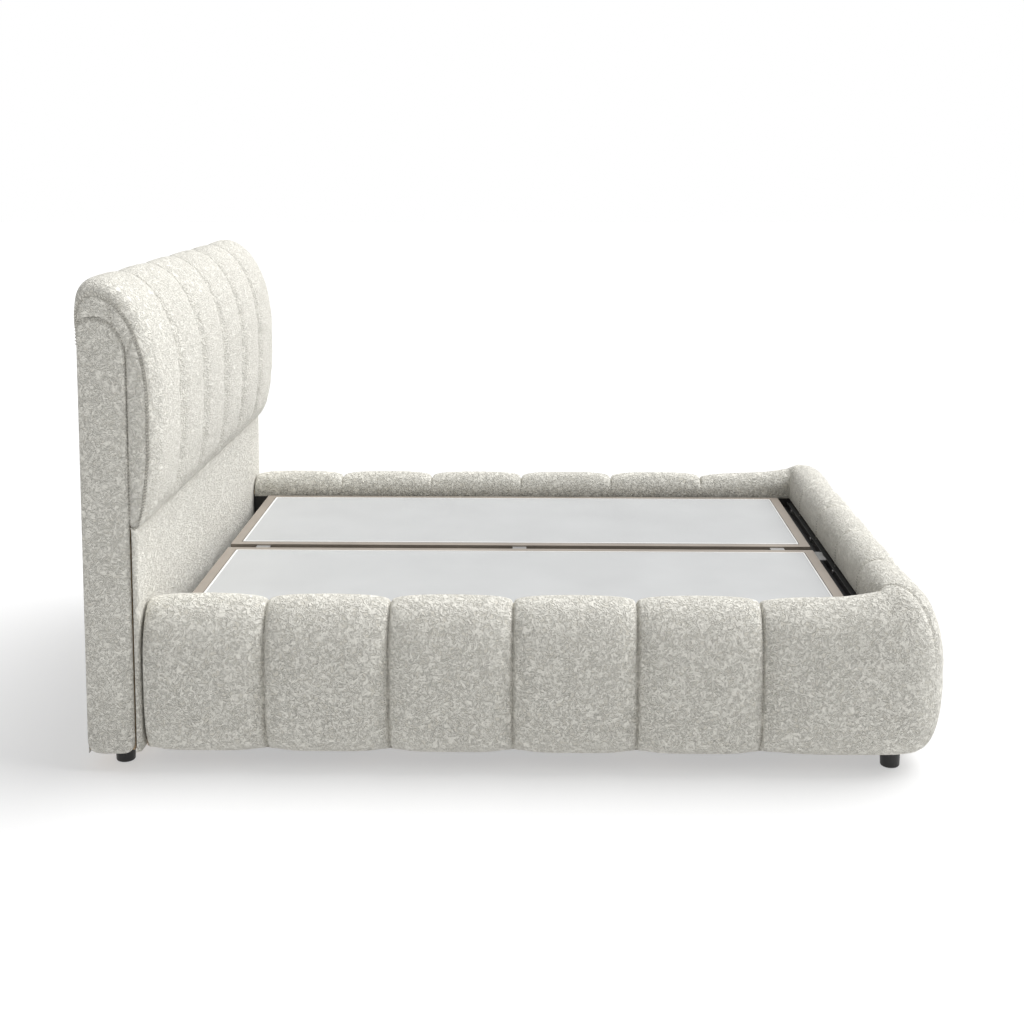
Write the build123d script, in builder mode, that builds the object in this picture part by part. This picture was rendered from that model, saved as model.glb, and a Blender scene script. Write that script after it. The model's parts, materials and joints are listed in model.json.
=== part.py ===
"""Upholstered storage bed: channelled headboard, padded rails and a gas-lift platform.

Frame: +X runs from the headboard to the foot, +Y to the sleeper's left, +Z up.
The origin is on the floor, under the middle of the bed. All sizes are in millimetres.
"""
import os
from math import atan2, cos, degrees, hypot, radians, sin

from build123d import *

os.makedirs("parts", exist_ok=True)

# ---------------------------------------------------------------- overall sizes
HALF_LENGTH = 1165        # headboard back and foot rail face
HALF_WIDTH = 920          # outer face of a side rail pad
RAIL_BOTTOM = 48          # underside of the upholstery above the floor
BOARD_BOTTOM = 58         # underside of the rail boards
SIDE_CROWN = 470          # highest line of a side rail
FOOT_CROWN = 508          # highest line of the foot rail
HEADBOARD_TOP = 1350
BOARD = 15                # thickness of the rail boards

# ---------------------------------------------------------------- headboard
HEAD_HALF_WIDTH = 895
SLAB_BACK = -HALF_LENGTH
SLAB_FRONT = -1035        # front face of the timber slab
LOWER_FRONT = -1009       # front face of the flat lower panel
PAD_FRONT = -951          # crest of the channelled pad
PAD_BOTTOM = 677
SLAB_TOP = 1245
SLAB_SIDE = 15            # thickness of the padded side panels
BACK_COVER = 5
BACK_PANEL = 9
FRONT_PANEL = 12
POST_WIDTH = 40
POST_PITCH = 560
HEAD_TOP_RAIL_BOTTOM = 1150
PAD_TUCK = 1180           # lower edge of the pad behind the slab
PAD_BACK_INSET = 15

# ---------------------------------------------------------------- rails
RAIL_INNER = 750          # inner face of the side rails
RAIL_OUTER_BOARD = 850
SIDE_BOARD_TOP = 410
FOOT_INNER = 1000
FOOT_OUTER_BOARD = 1095
FOOT_BOARD_TOP = 438
RIB_PITCH = 400

# ---------------------------------------------------------------- platform
PLATFORM_HALF_LENGTH = 950
PLATFORM_HALF_WIDTH = 730
CENTRE_GAP = 42           # between the two half frames
TUBE = 30
TUBE_WALL = 1.5
PLATFORM_TOP = 396
PLATFORM_BOTTOM = PLATFORM_TOP - TUBE
PANEL = 10                # thickness of the two platform boards
JOINT_PLATE_PITCH = 840

# ---------------------------------------------------------------- lift mechanism, (x, z) at rest
LIFT_BASE = (-527, 216)
LIFT_TOP = (-796, 340)
GUIDE_BASE = (-357, 149)
GUIDE_TOP = (-732, 311)
STRUT_BASE = (-578, 112)
STRUT_TOP = (-428, 245)
HINGE_PLATE = (730, 734)  # distance of each flat part from the centre plane
GUIDE_ARM = (734.6, 738.6)
LIFT_ARM = (739.2, 743.2)
BASE_PLATE = (744, 750)
STRUT_PLANE = 711
ARM_HALF_WIDTH = 15
PIN_RADIUS = 5
RUNNING_GAP = 0.05
OPEN_PIVOT_RADIUS = 10    # oversize eye where the linkage loop is left open
STUD_RADIUS = 4

SIDES = (("right", -1), ("left", 1))


def write(piece, label):
    """Label a finished piece and save it under its own name."""
    piece.part.label = label
    export_step(piece.part, f"parts/{label}.step")


def upright(y_high):
    """Plane across the bed at y_high: sketches on it are (x, z) and extrude towards -Y."""
    return Plane.XZ.offset(-y_high)


def blocks(label, *boxes):
    """One node of plain rectangular pieces, each (x0, x1, y0, y1, z0, z1)."""
    with BuildPart() as group:
        for x0, x1, y0, y1, z0, z1 in boxes:
            with BuildSketch(Plane.XY.offset(z0)):
                with Locations(((x0 + x1) / 2, (y0 + y1) / 2)):
                    Rectangle(x1 - x0, y1 - y0)
            extrude(amount=z1 - z0)
    write(group, label)


def mirrored(side, inner, outer):
    """Low and high Y of a piece that lies between two distances from the centre plane."""
    return tuple(sorted((side * inner, side * outer)))


# ================================================================ headboard
def headboard_posts():
    front = SLAB_FRONT - FRONT_PANEL
    back = SLAB_BACK + BACK_COVER + BACK_PANEL
    outer = HEAD_HALF_WIDTH - SLAB_SIDE - POST_WIDTH / 2
    centres = (-outer, -POST_PITCH / 2, POST_PITCH / 2, outer)
    half = POST_WIDTH / 2
    blocks("headboard_posts", *[
        (back, front, y - half, y + half, BOARD_BOTTOM, HEAD_TOP_RAIL_BOTTOM) for y in centres])


def headboard_crossrails():
    front = SLAB_FRONT - FRONT_PANEL
    back = SLAB_BACK + BACK_COVER + BACK_PANEL
    half = POST_WIDTH / 2
    outer = HEAD_HALF_WIDTH - SLAB_SIDE - half
    spans = ((-outer + half, -POST_PITCH / 2 - half),
             (-POST_PITCH / 2 + half, POST_PITCH / 2 - half),
             (POST_PITCH / 2 + half, outer - half))
    boxes = []
    for height in (BOARD_BOTTOM, 350, 640, 900):
        for low, high in spans:
            boxes.append((back, front, low, high, height, height + POST_WIDTH))
    blocks("headboard_crossrails", *boxes)


def headboard_top_rail():
    """Rounded timber that carries the pad over the top of the slab."""
    half = HEAD_HALF_WIDTH - SLAB_SIDE
    back = SLAB_BACK + PAD_BACK_INSET
    front = SLAB_FRONT - FRONT_PANEL
    with BuildPart() as top_rail:
        with BuildSketch(upright(half)) as profile:
            with Locations(((back + front) / 2, (HEAD_TOP_RAIL_BOTTOM + SLAB_TOP) / 2)):
                Rectangle(front - back, SLAB_TOP - HEAD_TOP_RAIL_BOTTOM)
            fillet(profile.vertices().group_by(Axis.Y)[-1], radius=35)
        extrude(amount=2 * half)
    write(top_rail, "headboard_top_rail")


def headboard_panels():
    half = HEAD_HALF_WIDTH - SLAB_SIDE
    blocks("headboard_front_panel",
           (SLAB_FRONT - FRONT_PANEL, SLAB_FRONT, -half, half, BOARD_BOTTOM, 1205))
    panel_back = SLAB_BACK + BACK_COVER
    blocks("headboard_back_panel",
           (panel_back, panel_back + BACK_PANEL, -half, half, BOARD_BOTTOM, HEAD_TOP_RAIL_BOTTOM))
    blocks("headboard_back_cover",
           (SLAB_BACK, panel_back, -half, half, RAIL_BOTTOM, PAD_TUCK - 5))
    blocks("headboard_lower_pad",
           (SLAB_FRONT, LOWER_FRONT, -HEAD_HALF_WIDTH, HEAD_HALF_WIDTH, RAIL_BOTTOM, PAD_BOTTOM))


def headboard_side(name, side):
    """Padded end panel of the slab, with rounded corners."""
    low, high = mirrored(side, HEAD_HALF_WIDTH - SLAB_SIDE, HEAD_HALF_WIDTH)
    with BuildPart() as end_panel:
        with BuildSketch(upright(high)) as outline:
            with Locations(((SLAB_BACK + SLAB_FRONT) / 2, (RAIL_BOTTOM + SLAB_TOP) / 2)):
                Rectangle(SLAB_FRONT - SLAB_BACK, SLAB_TOP - RAIL_BOTTOM)
            corners = outline.vertices().group_by(Axis.Y)
            bottom_back = corners[0].sort_by(Axis.X)[0]
            top_front = corners[-1].sort_by(Axis.X)[-1]
            fillet(bottom_back, radius=32)
            fillet(top_front, radius=55)
            with Locations((SLAB_BACK + PAD_BACK_INSET / 2, (PAD_TUCK + SLAB_TOP) / 2)):
                Rectangle(PAD_BACK_INSET, SLAB_TOP - PAD_TUCK, mode=Mode.SUBTRACT)
        extrude(amount=high - low)
    write(end_panel, f"headboard_side_{name}")


def headboard_pad():
    """Channelled pad: it hangs over the front, rolls over the top and tucks in behind."""
    crest_low, crest_high, shoulder = 900, 1100, -1115
    back = SLAB_BACK
    inner_back = SLAB_BACK + PAD_BACK_INSET
    inner_top = SLAB_TOP + 1
    with BuildPart() as pad:
        with BuildSketch(upright(HEAD_HALF_WIDTH)):
            with BuildLine():
                start = (SLAB_FRONT, PAD_BOTTOM)
                Line(start, (LOWER_FRONT, PAD_BOTTOM))
                ThreePointArc((LOWER_FRONT, PAD_BOTTOM), (-974, 790), (PAD_FRONT, crest_low))
                Line((PAD_FRONT, crest_low), (PAD_FRONT, crest_high))
                ThreePointArc((PAD_FRONT, crest_high), (-1001, 1262), (shoulder, HEADBOARD_TOP))
                ThreePointArc((shoulder, HEADBOARD_TOP), (-1152, 1331), (back, 1290))
                Line((back, 1290), (back, PAD_TUCK))
                Line((back, PAD_TUCK), (inner_back, PAD_TUCK))
                Line((inner_back, PAD_TUCK), (inner_back, inner_top))
                Line((inner_back, inner_top), (SLAB_FRONT, inner_top))
                Line((SLAB_FRONT, inner_top), start)
            make_face()
        extrude(amount=2 * HEAD_HALF_WIDTH)
    write(pad, "headboard_pad")


# ================================================================ side and foot rails
def side_rail_boards(name, side):
    """Timber box of one side rail, from the headboard to the foot rail."""
    start, end = LOWER_FRONT, FOOT_INNER
    low, high = mirrored(side, RAIL_INNER, RAIL_INNER + BOARD)
    top = SIDE_BOARD_TOP - BOARD
    blocks(f"side_rail_{name}_inner_board", (start, end, low, high, BOARD_BOTTOM, top))
    low, high = mirrored(side, RAIL_OUTER_BOARD - BOARD, RAIL_OUTER_BOARD)
    blocks(f"side_rail_{name}_outer_board", (start, end, low, high, BOARD_BOTTOM, top))
    low, high = mirrored(side, RAIL_INNER, RAIL_OUTER_BOARD)
    blocks(f"side_rail_{name}_top_board", (start, end, low, high, top, SIDE_BOARD_TOP))
    low, high = mirrored(side, RAIL_INNER + BOARD, RAIL_OUTER_BOARD - BOARD)
    stations = [step * RIB_PITCH for step in (-2, -1, 0, 1, 2)]
    blocks(f"side_rail_{name}_ribs", *[
        (x - BOARD / 2, x + BOARD / 2, low, high, BOARD_BOTTOM, top) for x in stations])


def side_rail_pad(name, side):
    """Foam and fabric over the outer face and the top of one side rail."""
    low, high = mirrored(side, RAIL_INNER, HALF_WIDTH)
    board_low, board_high = mirrored(side, RAIL_INNER - 5, RAIL_OUTER_BOARD)
    middle = (RAIL_BOTTOM + SIDE_CROWN) / 2
    with BuildPart() as pad:
        with BuildSketch(Plane.YZ.offset(LOWER_FRONT)) as profile:
            with Locations(((low + high) / 2, middle)):
                Rectangle(high - low, SIDE_CROWN - RAIL_BOTTOM)
            outer = profile.vertices().sort_by(lambda corner: abs(corner.X))[2:]
            fillet(outer.sort_by(Axis.Y)[0], radius=45)
            outer = profile.vertices().sort_by(Axis.Y)[-2:].sort_by(lambda corner: abs(corner.X))
            fillet(outer[-1], radius=100)
            inner = profile.vertices().sort_by(lambda corner: abs(corner.X))[:2].sort_by(Axis.Y)
            fillet(inner[-1], radius=50)
            with Locations(((board_low + board_high) / 2, (SIDE_BOARD_TOP + RAIL_BOTTOM - 20) / 2)):
                Rectangle(board_high - board_low, SIDE_BOARD_TOP - RAIL_BOTTOM + 20, mode=Mode.SUBTRACT)
        extrude(amount=FOOT_INNER - LOWER_FRONT)
    write(pad, f"side_rail_{name}_pad")


def foot_rail_boards():
    half = RAIL_OUTER_BOARD
    top = FOOT_BOARD_TOP - BOARD
    outer = FOOT_OUTER_BOARD
    blocks("foot_rail_inner_board", (FOOT_INNER, FOOT_INNER + BOARD, -half, half, BOARD_BOTTOM, top))
    blocks("foot_rail_outer_board", (outer - BOARD, outer, -half, half, BOARD_BOTTOM, top))
    blocks("foot_rail_top_board", (FOOT_INNER, outer, -half, half, top, FOOT_BOARD_TOP))
    stations = [step * RIB_PITCH for step in (-2, -1, 0, 1, 2)]
    blocks("foot_rail_ribs", *[
        (FOOT_INNER + BOARD, outer - BOARD, y - BOARD / 2, y + BOARD / 2, BOARD_BOTTOM, top)
        for y in stations])


def foot_rail_pad():
    """Foam and fabric over the foot rail and both foot corners."""
    corner_radius = 90
    with BuildPart() as pad:
        with BuildSketch(Plane.XY.offset(RAIL_BOTTOM)) as footprint:
            with Locations(((FOOT_INNER + HALF_LENGTH) / 2, 0)):
                Rectangle(HALF_LENGTH - FOOT_INNER, 2 * HALF_WIDTH)
            fillet(footprint.vertices().group_by(Axis.X)[-1], radius=corner_radius)
        extrude(amount=FOOT_CROWN - RAIL_BOTTOM)
        fillet(pad.edges().group_by(Axis.Z)[-1], radius=50)
        fillet(pad.edges().group_by(Axis.Z)[0].sort_by(Axis.X)[-5:], radius=20)
        with BuildSketch(Plane.XY.offset(RAIL_BOTTOM - 5)):
            with Locations(((FOOT_INNER - 5 + FOOT_OUTER_BOARD) / 2, 0)):
                Rectangle(FOOT_OUTER_BOARD - FOOT_INNER + 5, 2 * RAIL_OUTER_BOARD)
        extrude(amount=FOOT_BOARD_TOP - RAIL_BOTTOM + 5, mode=Mode.SUBTRACT)
    write(pad, "foot_rail_pad")


# ================================================================ floor, feet and fixings
FLOOR_BOTTOM = 88
FLOOR = 9
BATTEN = 16


def storage_floor():
    for name, side in SIDES:
        low, high = mirrored(side, 2, RAIL_INNER - 4)
        blocks(f"floor_board_{name}",
               (LOWER_FRONT + 5, FOOT_INNER - 4, low, high, FLOOR_BOTTOM, FLOOR_BOTTOM + FLOOR))
    low = FLOOR_BOTTOM - BATTEN
    blocks("centre_beam", (LOWER_FRONT, FOOT_INNER, -25, 25, low, FLOOR_BOTTOM))
    boxes = []
    for x in (-900, -300, 300, 900):
        boxes.append((x - 20, x + 20, 25, RAIL_INNER, low, FLOOR_BOTTOM))
        boxes.append((x - 20, x + 20, -RAIL_INNER, -25, low, FLOOR_BOTTOM))
    blocks("floor_battens", *boxes)


def feet(label, places, height):
    """Short round feet, tapered and rounded at the floor."""
    with BuildPart() as group:
        with BuildSketch():
            with Locations(*places):
                Circle(26)
        extrude(amount=height, taper=-2.5)
        fillet(group.edges().group_by(Axis.Z)[0], radius=6)
    write(group, label)


def all_feet():
    across = 805
    head, foot = -1082, 1032
    corners = [(head, -across), (head, across), (foot, -across), (foot, across)]
    feet("corner_feet", corners, BOARD_BOTTOM)
    feet("centre_feet", [(-500, 0), (500, 0)], FLOOR_BOTTOM - BATTEN)


BRACKET_LOW, BRACKET_HIGH = 130, 250
BRACKET_REACH = 44
BRACKET = 3
BATTEN_FACE = 985         # dark batten on the foot rail, under the edge of its cover
LEDGE_REACH = 50
LEDGE_LIP = 384
SHANK_RADIUS = 3
HEAD_RADIUS = 6
HEAD_HEIGHT = 2.3


BASE_BOLTS = ((-345, 114), (-440, 114), (-510, 150), (-560, 160))
HINGE_BOLTS = ((-806, 381), (-763, 381), (-718, 381))


def corner_seats():
    """Where each corner bolt starts, and the way it points."""
    seats = []
    for height in (BRACKET_LOW + 25, BRACKET_HIGH - 25):
        for end, turn in ((LOWER_FRONT, 1), (FOOT_INNER, -1)):
            for side in (-1, 1):
                seats.append(((end + turn * 28, side * (RAIL_INNER - BRACKET), height), (0, side, 0)))
                seats.append(((end + turn * BRACKET, side * (RAIL_INNER - 28), height), (-turn, 0, 0)))
    return seats


def ledge_seats():
    return [((BATTEN_FACE - BRACKET, y, 375), (1, 0, 0)) for y in (-600, -200, 200, 600)]


def base_seats(side):
    return [((x, side * BASE_PLATE[0], z), (0, side, 0)) for x, z in BASE_BOLTS]


def hinge_seats(side):
    return [((x, side * HINGE_PLATE[1], z), (0, -side, 0)) for x, z in HINGE_BOLTS]


def bolts(seats, length):
    """Pan-head bolts: each head stands back from its seat, and the shank runs on from it."""
    for start, direction in seats:
        seat = Plane(origin=start, z_dir=direction)
        with BuildSketch(seat) as shank:
            Circle(SHANK_RADIUS)
        extrude(shank.sketch, amount=length)
        with BuildSketch(seat) as head:
            Circle(HEAD_RADIUS)
        extrude(head.sketch, amount=-HEAD_HEIGHT)


def drill(seats, depth):
    """Clearance holes for the bolts."""
    for start, direction in seats:
        with BuildSketch(Plane(origin=start, z_dir=direction)) as hole:
            Circle(SHANK_RADIUS + 0.3)
        extrude(hole.sketch, amount=depth, mode=Mode.SUBTRACT)


def corner_brackets():
    """Folded steel angles in the four inner corners of the box."""
    with BuildPart() as group:
        with BuildSketch(Plane.XY.offset(BRACKET_LOW)):
            for end, turn in ((LOWER_FRONT, 1), (FOOT_INNER, -1)):
                for side in (-1, 1):
                    inner = side * RAIL_INNER
                    with Locations((end + turn * BRACKET_REACH / 2, inner - side * BRACKET / 2)):
                        Rectangle(BRACKET_REACH, BRACKET)
                    with Locations((end + turn * BRACKET / 2, inner - side * BRACKET_REACH / 2)):
                        Rectangle(BRACKET, BRACKET_REACH)
        extrude(amount=BRACKET_HIGH - BRACKET_LOW)
        drill(corner_seats(), BRACKET)
    write(group, "corner_brackets")


def foot_ledge():
    """Batten on the foot rail, and the steel angle that the closed platform rests on."""
    top = PLATFORM_BOTTOM - 0.3
    half = PLATFORM_HALF_WIDTH - 20
    blocks("foot_batten", (BATTEN_FACE, FOOT_INNER, -half, half, 262, LEDGE_LIP - 4))
    with BuildPart() as ledge:
        with BuildSketch(upright(half)):
            with BuildLine():
                Polyline((BATTEN_FACE, top - BRACKET), (BATTEN_FACE - LEDGE_REACH, top - BRACKET),
                         (BATTEN_FACE - LEDGE_REACH, top), (BATTEN_FACE - BRACKET, top),
                         (BATTEN_FACE - BRACKET, LEDGE_LIP), (BATTEN_FACE, LEDGE_LIP), close=True)
            make_face()
        extrude(amount=2 * half)
        drill(ledge_seats(), BRACKET)
    write(ledge, "foot_ledge")


def frame_bolts():
    """Every bolt of the fixed frame: corner brackets, foot ledge and lift base plates."""
    with BuildPart() as group:
        bolts(corner_seats(), 15)
        bolts(ledge_seats(), 25)
        for _, side in SIDES:
            bolts(base_seats(side), 18)
    write(group, "frame_bolts")


# ================================================================ lift mechanism
def lift_base_plate(name, side):
    """Steel plate bolted to the side rail: it carries both arm pivots and the strut."""
    low, high = mirrored(side, *BASE_PLATE)
    with BuildPart() as plate:
        with BuildSketch(upright(high)):
            with BuildLine():
                Polyline((-606, 100), (-325, 100), (-325, 172), (-500, 246), (-560, 246),
                         (-606, 150), close=True)
            make_face()
        extrude(amount=high - low)
        drill(base_seats(side), high - low)
    write(plate, f"lift_base_plate_{name}")


def pins(label, places, inner, outer, radius):
    """The same pins on both sides of the bed, between two distances from the centre plane."""
    with BuildPart() as group:
        for _, side in SIDES:
            low, high = mirrored(side, inner, outer)
            with BuildSketch(upright(high)):
                with Locations(*places):
                    Circle(radius)
            extrude(amount=high - low)
    write(group, label)


def arm(label, side, plane, base, tip, tip_hole, ear=None):
    """Flat steel arm with an eye at each end, and a welded ear where the strut pushes."""
    low, high = mirrored(side, *plane)
    length = hypot(tip[0] - base[0], tip[1] - base[1])
    angle = degrees(atan2(tip[1] - base[1], tip[0] - base[0]))
    middle = ((base[0] + tip[0]) / 2, (base[1] + tip[1]) / 2)
    with BuildPart() as bar:
        with BuildSketch(upright(high)):
            with Locations(Location((*middle, 0), (0, 0, angle))):
                SlotCenterToCenter(length, 2 * ARM_HALF_WIDTH)
            if ear:
                run = hypot(ear[0] - base[0], ear[1] - base[1])
                turn = degrees(atan2(ear[1] - base[1], ear[0] - base[0]))
                centre = ((base[0] + ear[0]) / 2, (base[1] + ear[1]) / 2)
                with Locations(Location((*centre, 0), (0, 0, turn))):
                    SlotCenterToCenter(run, 1.6 * ARM_HALF_WIDTH)
            with Locations(base):
                Circle(PIN_RADIUS + RUNNING_GAP, mode=Mode.SUBTRACT)
            with Locations(tip):
                Circle(tip_hole, mode=Mode.SUBTRACT)
        extrude(amount=high - low)
    write(bar, label)


def lift_arms(name, side):
    arm(f"lift_arm_{name}", side, LIFT_ARM, LIFT_BASE, LIFT_TOP, 3)
    arm(f"guide_arm_{name}", side, GUIDE_ARM, GUIDE_BASE, GUIDE_TOP, OPEN_PIVOT_RADIUS, STRUT_TOP)


def lift_pins():
    with BuildPart() as pivots:
        for _, side in SIDES:
            for place, plane in ((LIFT_BASE, LIFT_ARM), (GUIDE_BASE, GUIDE_ARM)):
                low, high = mirrored(side, plane[0], BASE_PLATE[0])
                with BuildSketch(upright(high)):
                    with Locations(place):
                        Circle(PIN_RADIUS)
                extrude(amount=high - low)
    write(pivots, "arm_pivot_pins")
    pins("platform_pivot_pins", [LIFT_TOP], HINGE_PLATE[0] - 1, LIFT_ARM[0], PIN_RADIUS)
    pins("guide_pins", [GUIDE_TOP], HINGE_PLATE[1], GUIDE_ARM[1] + 0.2, PIN_RADIUS)
    pins("strut_base_studs", [STRUT_BASE], STRUT_PLANE - 7, BASE_PLATE[0], STUD_RADIUS)
    pins("strut_top_studs", [STRUT_TOP], STRUT_PLANE - 7, GUIDE_ARM[0], STUD_RADIUS)


STRUT_LENGTH = hypot(STRUT_TOP[0] - STRUT_BASE[0], STRUT_TOP[1] - STRUT_BASE[1])
STRUT_RISE = atan2(STRUT_TOP[1] - STRUT_BASE[1], STRUT_TOP[0] - STRUT_BASE[0])
CYLINDER_END = 168
CYLINDER_RADIUS = 10
BORE_RADIUS = 7
ROD_START = 24


def strut_plane(side, distance):
    """Plane across the strut, at a distance from its base stud."""
    along = (cos(STRUT_RISE), 0, sin(STRUT_RISE))
    origin = (STRUT_BASE[0] + along[0] * distance, side * STRUT_PLANE, STRUT_BASE[1] + along[2] * distance)
    return Plane(origin=origin, x_dir=(0, 1, 0), z_dir=along)


def round_bar(side, start, end, radius, mode=Mode.ADD):
    with BuildSketch(strut_plane(side, start)) as section:
        Circle(radius)
    extrude(section.sketch, amount=end - start, mode=mode)


def eye(side, place, outer, hole, half_width):
    """Flat ring around a stud."""
    with BuildSketch(upright(side * STRUT_PLANE + half_width)) as disc:
        with Locations(place):
            Circle(outer)
    extrude(disc.sketch, amount=2 * half_width)
    with BuildSketch(upright(side * STRUT_PLANE + half_width)) as opening:
        with Locations(place):
            Circle(hole)
    extrude(opening.sketch, amount=2 * half_width, mode=Mode.SUBTRACT)


def gas_struts():
    with BuildPart() as cylinders:
        for _, side in SIDES:
            round_bar(side, 9, CYLINDER_END, CYLINDER_RADIUS)
            round_bar(side, 20, CYLINDER_END - 8, BORE_RADIUS, Mode.SUBTRACT)
            round_bar(side, CYLINDER_END - 8, CYLINDER_END, STUD_RADIUS + RUNNING_GAP, Mode.SUBTRACT)
            eye(side, STRUT_BASE, 10.5, STUD_RADIUS + RUNNING_GAP, 5)
    write(cylinders, "strut_cylinders")
    with BuildPart() as rods:
        for _, side in SIDES:
            round_bar(side, ROD_START, STRUT_LENGTH - 12, STUD_RADIUS)
            round_bar(side, ROD_START, ROD_START + 10, BORE_RADIUS - RUNNING_GAP)
            eye(side, STRUT_TOP, 14, OPEN_PIVOT_RADIUS + 0.5, 5)
    write(rods, "strut_rods")


# ================================================================ lifting platform
INNER_TUBE = CENTRE_GAP / 2
CROSS_TUBE_HEIGHT = TUBE - PANEL


def hollow_tube(plane, centre, width, height, length):
    """Rectangular steel tube, open at both ends."""
    with BuildSketch(plane) as section:
        with Locations(centre):
            Rectangle(width, height)
            Rectangle(width - 2 * TUBE_WALL, height - 2 * TUBE_WALL, mode=Mode.SUBTRACT)
    extrude(section.sketch, amount=length)


def half_frame(name, side):
    """One welded half frame: two long tubes, two end tubes and three cross tubes."""
    middle = PLATFORM_TOP - TUBE / 2
    with BuildPart() as long_tubes:
        for distance in (INNER_TUBE + TUBE / 2, PLATFORM_HALF_WIDTH - TUBE / 2):
            hollow_tube(Plane.YZ.offset(-PLATFORM_HALF_LENGTH), (side * distance, middle),
                        TUBE, TUBE, 2 * PLATFORM_HALF_LENGTH)
    write(long_tubes, f"platform_long_tubes_{name}")
    low, high = mirrored(side, INNER_TUBE + TUBE, PLATFORM_HALF_WIDTH - TUBE)
    end = PLATFORM_HALF_LENGTH - TUBE / 2
    with BuildPart() as cross_tubes:
        for x in (-end, end):
            hollow_tube(upright(high), (x, middle), TUBE, TUBE, high - low)
        for x in (-end / 2, 0, end / 2):
            hollow_tube(upright(high), (x, PLATFORM_BOTTOM + CROSS_TUBE_HEIGHT / 2),
                        TUBE, CROSS_TUBE_HEIGHT, high - low)
    write(cross_tubes, f"platform_cross_tubes_{name}")


def platform_board(name, side):
    inset = 3
    reach = PLATFORM_HALF_LENGTH - TUBE - inset
    low, high = mirrored(side, INNER_TUBE + TUBE + inset, PLATFORM_HALF_WIDTH - TUBE - inset)
    with BuildPart() as panel:
        with BuildSketch(Plane.XY.offset(PLATFORM_TOP - PANEL)):
            with Locations((0, (low + high) / 2)):
                RectangleRounded(2 * reach, high - low, 6)
        extrude(amount=PANEL)
        chamfer(panel.edges().group_by(Axis.Z)[-1], length=1.5)
    write(panel, f"platform_board_{name}")


JOINT_PLATE = 2
JOINT_PLATE_LENGTH = 45
JOINT_PLATE_TOP = PLATFORM_TOP - 4
JOINT_PLATE_BOTTOM = PLATFORM_TOP - 26
STRAP = 3
STRAP_LOW, STRAP_HIGH = -122, -26
STRAP_REACH = 26


def joint_seats():
    """Bolts of the joint plates, driven sideways into the two middle tubes."""
    height = (JOINT_PLATE_TOP - JOINT_PLATE + JOINT_PLATE_BOTTOM) / 2
    return [((x, side * (INNER_TUBE - JOINT_PLATE), height), (0, side, 0))
            for x in (-JOINT_PLATE_PITCH, 0, JOINT_PLATE_PITCH) for _, side in SIDES]


def strap_seats():
    return [((PLATFORM_HALF_LENGTH + STRAP, y, PLATFORM_TOP - 18), (-1, 0, 0))
            for y in (STRAP_LOW + 14, STRAP_HIGH - 14)]


def joint_plates():
    """Folded steel channels that join the two half frames across the gap between them."""
    inner = INNER_TUBE - JOINT_PLATE
    with BuildPart() as plates:
        for x in (-JOINT_PLATE_PITCH, 0, JOINT_PLATE_PITCH):
            with BuildSketch(Plane.YZ.offset(x - JOINT_PLATE_LENGTH / 2)) as channel:
                with BuildLine():
                    Polyline((-INNER_TUBE, JOINT_PLATE_BOTTOM), (-INNER_TUBE, JOINT_PLATE_TOP),
                             (INNER_TUBE, JOINT_PLATE_TOP), (INNER_TUBE, JOINT_PLATE_BOTTOM),
                             (inner, JOINT_PLATE_BOTTOM), (inner, JOINT_PLATE_TOP - JOINT_PLATE),
                             (-inner, JOINT_PLATE_TOP - JOINT_PLATE), (-inner, JOINT_PLATE_BOTTOM), close=True)
                make_face()
            extrude(channel.sketch, amount=JOINT_PLATE_LENGTH)
        drill(joint_seats(), JOINT_PLATE)
    write(plates, "joint_plates")


def hinge_plate(name, side):
    """Plate on the outside of the platform tube, reaching down to the two arm pivots."""
    low, high = mirrored(side, *HINGE_PLATE)
    with BuildPart() as plate:
        with BuildSketch(upright(high)):
            with BuildLine():
                Polyline((-822, 394), (-822, 330), (-806, 320), (-756, 290), (-712, 290), (-704, 320),
                         (-704, 394), close=True)
            make_face()
            with Locations(LIFT_TOP):
                Circle(PIN_RADIUS + RUNNING_GAP, mode=Mode.SUBTRACT)
        extrude(amount=high - low)
        drill(hinge_seats(side), high - low)
    write(plate, f"hinge_plate_{name}")


def platform_bolts():
    """Bolts of the joint plates, the pull strap and the hinge plates."""
    seats = joint_seats() + strap_seats()
    for _, side in SIDES:
        seats += hinge_seats(side)
    with BuildPart() as group:
        bolts(seats, 12)
    write(group, "platform_bolts")


def pull_strap():
    """Folded webbing tab at the foot end of the right-hand half frame."""
    face = PLATFORM_HALF_LENGTH
    top = JOINT_PLATE_TOP
    with BuildPart() as strap:
        with BuildSketch(upright(STRAP_HIGH)):
            with BuildLine():
                Polyline((face, top - 21), (face, top), (face + STRAP_REACH, top),
                         (face + STRAP_REACH, top - STRAP), (face + STRAP, top - STRAP),
                         (face + STRAP, top - 21), close=True)
            make_face()
        extrude(amount=STRAP_HIGH - STRAP_LOW)
        drill(strap_seats(), STRAP)
    write(strap, "pull_strap")


# ================================================================ build
headboard_posts()
headboard_crossrails()
headboard_top_rail()
headboard_panels()
headboard_pad()
foot_rail_boards()
foot_rail_pad()
storage_floor()
all_feet()
corner_brackets()
foot_ledge()
frame_bolts()
lift_pins()
gas_struts()
joint_plates()
platform_bolts()
pull_strap()
for side_name, side_sign in SIDES:
    headboard_side(side_name, side_sign)
    side_rail_boards(side_name, side_sign)
    side_rail_pad(side_name, side_sign)
    lift_base_plate(side_name, side_sign)
    lift_arms(side_name, side_sign)
    half_frame(side_name, side_sign)
    platform_board(side_name, side_sign)
    hinge_plate(side_name, side_sign)
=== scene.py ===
"""Studio scene of the upholstered storage bed: fabric covers, materials, light and camera.

Lengths are in metres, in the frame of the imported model: +X to the foot, +Z up, and the
right-hand rail on -Y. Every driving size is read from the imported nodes.
"""
import json
import math

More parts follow.
